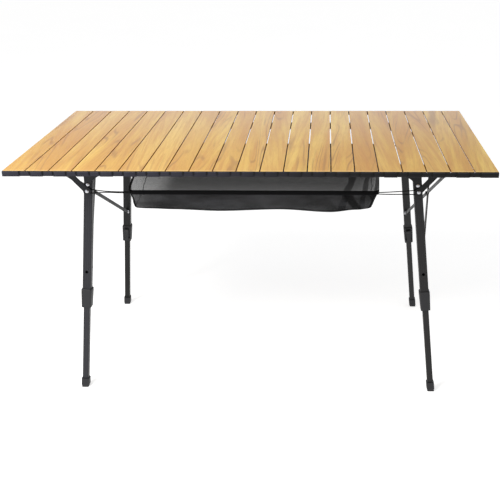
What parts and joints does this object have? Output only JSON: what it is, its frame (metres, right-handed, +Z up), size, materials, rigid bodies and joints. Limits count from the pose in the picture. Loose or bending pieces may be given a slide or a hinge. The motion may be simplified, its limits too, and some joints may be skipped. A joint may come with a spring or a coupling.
{
  "type": "camp kitchen table",
  "caption": "Roll-top slatted camp kitchen table on splayed telescoping legs with scissor end frames and a hanging mesh storage bag.",
  "frame": {"origin": "on the floor under the centre of the table top", "axes": "+X along the length of the table, +Y to the back, +Z up"},
  "size_m": [1.197, 0.63, 0.644],
  "materials": {
    "slat_film": "wood-grain transfer film on aluminium",
    "frame_tube": "charcoal powder coat on aluminium",
    "frame_plate": "black powder coat on steel",
    "black_plastic": "fine-textured moulded nylon",
    "bag_mesh": "knitted polyester mesh, see-through",
    "elastic_cord": "braided elastic cord"
  },
  "bodies": {
    "back_side": {"slat_11": "slat_film", "rail_back": "frame_tube", "storage_bag": "bag_mesh", "leg_upper_back_left": "frame_tube", "collar_back_left": "black_plastic", "gusset_back_left": "frame_plate", "brace_back_left": "frame_plate", "bag_loop_back_left": "elastic_cord", "leg_upper_back_right": "frame_tube", "collar_back_right": "black_plastic", "gusset_back_right": "frame_plate", "brace_back_right": "frame_plate", "bag_loop_back_right": "elastic_cord"},
    "front_side": {"rail_front": "frame_tube", "leg_upper_front_left": "frame_tube", "collar_front_left": "black_plastic", "gusset_front_left": "frame_plate", "brace_front_left": "frame_plate", "bag_loop_front_left": "elastic_cord", "leg_upper_front_right": "frame_tube", "collar_front_right": "black_plastic", "gusset_front_right": "frame_plate", "brace_front_right": "frame_plate", "bag_loop_front_right": "elastic_cord"},
    "outer_bar_right": {"scissor_bar_outer_right": "frame_plate"},
    "inner_bar_right": {"scissor_bar_inner_right": "frame_plate"},
    "outer_bar_left": {"scissor_bar_outer_left": "frame_plate"},
    "inner_bar_left": {"scissor_bar_inner_left": "frame_plate"},
    "lower_leg_front_left": {"leg_lower_front_left": "frame_tube", "foot_front_left": "black_plastic"},
    "lever_front_left": {"lock_lever_front_left": "black_plastic"},
    "lower_leg_front_right": {"leg_lower_front_right": "frame_tube", "foot_front_right": "black_plastic"},
    "lever_front_right": {"lock_lever_front_right": "black_plastic"},
    "lower_leg_back_left": {"leg_lower_back_left": "frame_tube", "foot_back_left": "black_plastic"},
    "lever_back_left": {"lock_lever_back_left": "black_plastic"},
    "lower_leg_back_right": {"leg_lower_back_right": "frame_tube", "foot_back_right": "black_plastic"},
    "lever_back_right": {"lock_lever_back_right": "black_plastic"},
    "slat_01_body": {"slat_01": "slat_film"},
    "slat_02_body": {"slat_02": "slat_film"},
    "slat_03_body": {"slat_03": "slat_film"},
    "slat_04_body": {"slat_04": "slat_film"},
    "slat_05_body": {"slat_05": "slat_film"},
    "slat_06_body": {"slat_06": "slat_film"},
    "slat_07_body": {"slat_07": "slat_film"},
    "slat_08_body": {"slat_08": "slat_film"},
    "slat_09_body": {"slat_09": "slat_film"},
    "slat_10_body": {"slat_10": "slat_film"},
    "slat_12_body": {"slat_12": "slat_film"},
    "slat_13_body": {"slat_13": "slat_film"},
    "slat_14_body": {"slat_14": "slat_film"},
    "slat_15_body": {"slat_15": "slat_film"},
    "slat_16_body": {"slat_16": "slat_film"},
    "slat_17_body": {"slat_17": "slat_film"},
    "slat_18_body": {"slat_18": "slat_film"},
    "slat_19_body": {"slat_19": "slat_film"},
    "slat_20_body": {"slat_20": "slat_film"},
    "slat_21_body": {"slat_21": "slat_film"}
  },
  "joints": [
    {"name": "frame_fold", "type": "hinge", "parent": "back_side", "child": "outer_bar_right", "pos_m": [0.506, 0.212, 0.6215], "axis": [0.9735, 0, -0.2288], "range_deg": [0, 45]},
    {"name": "crossing_right", "type": "hinge", "parent": "outer_bar_right", "child": "inner_bar_right", "pos_m": [0.47342, 0, 0.48292], "axis": [0.9735, 0, -0.2288], "range_deg": [-90.2, 0]},
    {"name": "front_side_turn", "type": "hinge", "parent": "inner_bar_right", "child": "front_side", "pos_m": [0.506, -0.212, 0.6215], "axis": [0.9735, 0, -0.2288], "range_deg": [0, 45.1], "deforming": ["storage_bag"]},
    {"name": "fold_left", "type": "hinge", "parent": "back_side", "child": "outer_bar_left", "pos_m": [-0.506, 0.212, 0.6215], "axis": [0.9735, 0, 0.2288], "range_deg": [0, 45.1]},
    {"name": "crossing_left", "type": "hinge", "parent": "outer_bar_left", "child": "inner_bar_left", "pos_m": [-0.47342, 0, 0.48292], "axis": [0.9735, 0, 0.2288], "range_deg": [-90.2, 0]},
    {"name": "leg_slide_front_left", "type": "slide", "parent": "front_side", "child": "lower_leg_front_left", "axis": [0.1041, 0.0744, 0.9918], "range_m": [0, 0.19]},
    {"name": "lever_turn_front_left", "type": "hinge", "parent": "front_side", "child": "lever_front_left", "pos_m": [-0.45376, -0.2215, 0.24867], "axis": [-0.9946, 0.0078, 0.1038], "range_deg": [0, 100]},
    {"name": "leg_slide_front_right", "type": "slide", "parent": "front_side", "child": "lower_leg_front_right", "axis": [-0.1041, 0.0744, 0.9918], "range_m": [0, 0.19]},
    {"name": "lever_turn_front_right", "type": "hinge", "parent": "front_side", "child": "lever_front_right", "pos_m": [0.45376, -0.2215, 0.24867], "axis": [-0.9946, -0.0078, -0.1038], "range_deg": [0, 100]},
    {"name": "leg_slide_back_left", "type": "slide", "parent": "back_side", "child": "lower_leg_back_left", "axis": [0.1041, -0.0744, 0.9918], "range_m": [0, 0.19]},
    {"name": "lever_turn_back_left", "type": "hinge", "parent": "back_side", "child": "lever_back_left", "pos_m": [-0.45376, 0.2215, 0.24867], "axis": [0.9946, 0.0078, -0.1038], "range_deg": [0, 100]},
    {"name": "leg_slide_back_right", "type": "slide", "parent": "back_side", "child": "lower_leg_back_right", "axis": [-0.1041, -0.0744, 0.9918], "range_m": [0, 0.19]},
    {"name": "lever_turn_back_right", "type": "hinge", "parent": "back_side", "child": "lever_back_right", "pos_m": [0.45376, 0.2215, 0.24867], "axis": [0.9946, -0.0078, 0.1038], "range_deg": [0, 100]},
    {"name": "slat_link_12", "type": "hinge", "parent": "back_side", "child": "slat_12_body", "pos_m": [0.02857, 0, 0.644], "axis": [0, -1, 0], "range_deg": [0, 8]},
    {"name": "slat_link_13", "type": "hinge", "parent": "slat_12_body", "child": "slat_13_body", "pos_m": [0.08571, 0, 0.644], "axis": [0, -1, 0], "range_deg": [0, 14]},
    {"name": "slat_link_14", "type": "hinge", "parent": "slat_13_body", "child": "slat_14_body", "pos_m": [0.14286, 0, 0.644], "axis": [0, -1, 0], "range_deg": [0, 24]},
    {"name": "slat_link_15", "type": "hinge", "parent": "slat_14_body", "child": "slat_15_body", "pos_m": [0.2, 0, 0.644], "axis": [0, -1, 0], "range_deg": [0, 40]},
    {"name": "slat_link_16", "type": "hinge", "parent": "slat_15_body", "child": "slat_16_body", "pos_m": [0.25714, 0, 0.644], "axis": [0, -1, 0], "range_deg": [0, 42]},
    {"name": "slat_link_17", "type": "hinge", "parent": "slat_16_body", "child": "slat_17_body", "pos_m": [0.31429, 0, 0.644], "axis": [0, -1, 0], "range_deg": [0, 44]},
    {"name": "slat_link_18", "type": "hinge", "parent": "slat_17_body", "child": "slat_18_body", "pos_m": [0.37143, 0, 0.644], "axis": [0, -1, 0], "range_deg": [0, 46]},
    {"name": "slat_link_19", "type": "hinge", "parent": "slat_18_body", "child": "slat_19_body", "pos_m": [0.42857, 0, 0.644], "axis": [0, -1, 0], "range_deg": [0, 48]},
    {"name": "slat_link_20", "type": "hinge", "parent": "slat_19_body", "child": "slat_20_body", "pos_m": [0.48571, 0, 0.644], "axis": [0, -1, 0], "range_deg": [0, 50]},
    {"name": "slat_link_21", "type": "hinge", "parent": "slat_20_body", "child": "slat_21_body", "pos_m": [0.54286, 0, 0.644], "axis": [0, -1, 0], "range_deg": [0, 52]},
    {"name": "slat_link_10", "type": "hinge", "parent": "back_side", "child": "slat_10_body", "pos_m": [-0.02857, 0, 0.644], "axis": [0, 1, 0], "range_deg": [0, 8]},
    {"name": "slat_link_09", "type": "hinge", "parent": "slat_10_body", "child": "slat_09_body", "pos_m": [-0.08571, 0, 0.644], "axis": [0, 1, 0], "range_deg": [0, 14]},
    {"name": "slat_link_08", "type": "hinge", "parent": "slat_09_body", "child": "slat_08_body", "pos_m": [-0.14286, 0, 0.644], "axis": [0, 1, 0], "range_deg": [0, 24]},
    {"name": "slat_link_07", "type": "hinge", "parent": "slat_08_body", "child": "slat_07_body", "pos_m": [-0.2, 0, 0.644], "axis": [0, 1, 0], "range_deg": [0, 40]},
    {"name": "slat_link_06", "type": "hinge", "parent": "slat_07_body", "child": "slat_06_body", "pos_m": [-0.25714, 0, 0.644], "axis": [0, 1, 0], "range_deg": [0, 42]},
    {"name": "slat_link_05", "type": "hinge", "parent": "slat_06_body", "child": "slat_05_body", "pos_m": [-0.31429, 0, 0.644], "axis": [0, 1, 0], "range_deg": [0, 44]},
    {"name": "slat_link_04", "type": "hinge", "parent": "slat_05_body", "child": "slat_04_body", "pos_m": [-0.37143, 0, 0.644], "axis": [0, 1, 0], "range_deg": [0, 46]},
    {"name": "slat_link_03", "type": "hinge", "parent": "slat_04_body", "child": "slat_03_body", "pos_m": [-0.42857, 0, 0.644], "axis": [0, 1, 0], "range_deg": [0, 48]},
    {"name": "slat_link_02", "type": "hinge", "parent": "slat_03_body", "child": "slat_02_body", "pos_m": [-0.48571, 0, 0.644], "axis": [0, 1, 0], "range_deg": [0, 50]},
    {"name": "slat_link_01", "type": "hinge", "parent": "slat_02_body", "child": "slat_01_body", "pos_m": [-0.54286, 0, 0.644], "axis": [0, 1, 0], "range_deg": [0, 52]}
  ],
  "couplings": [
    {"joint": "crossing_right", "follows": "frame_fold", "ratio": -2},
    {"joint": "front_side_turn", "follows": "frame_fold", "ratio": 1},
    {"joint": "fold_left", "follows": "frame_fold", "ratio": 1},
    {"joint": "crossing_left", "follows": "frame_fold", "ratio": -2}
  ]
}
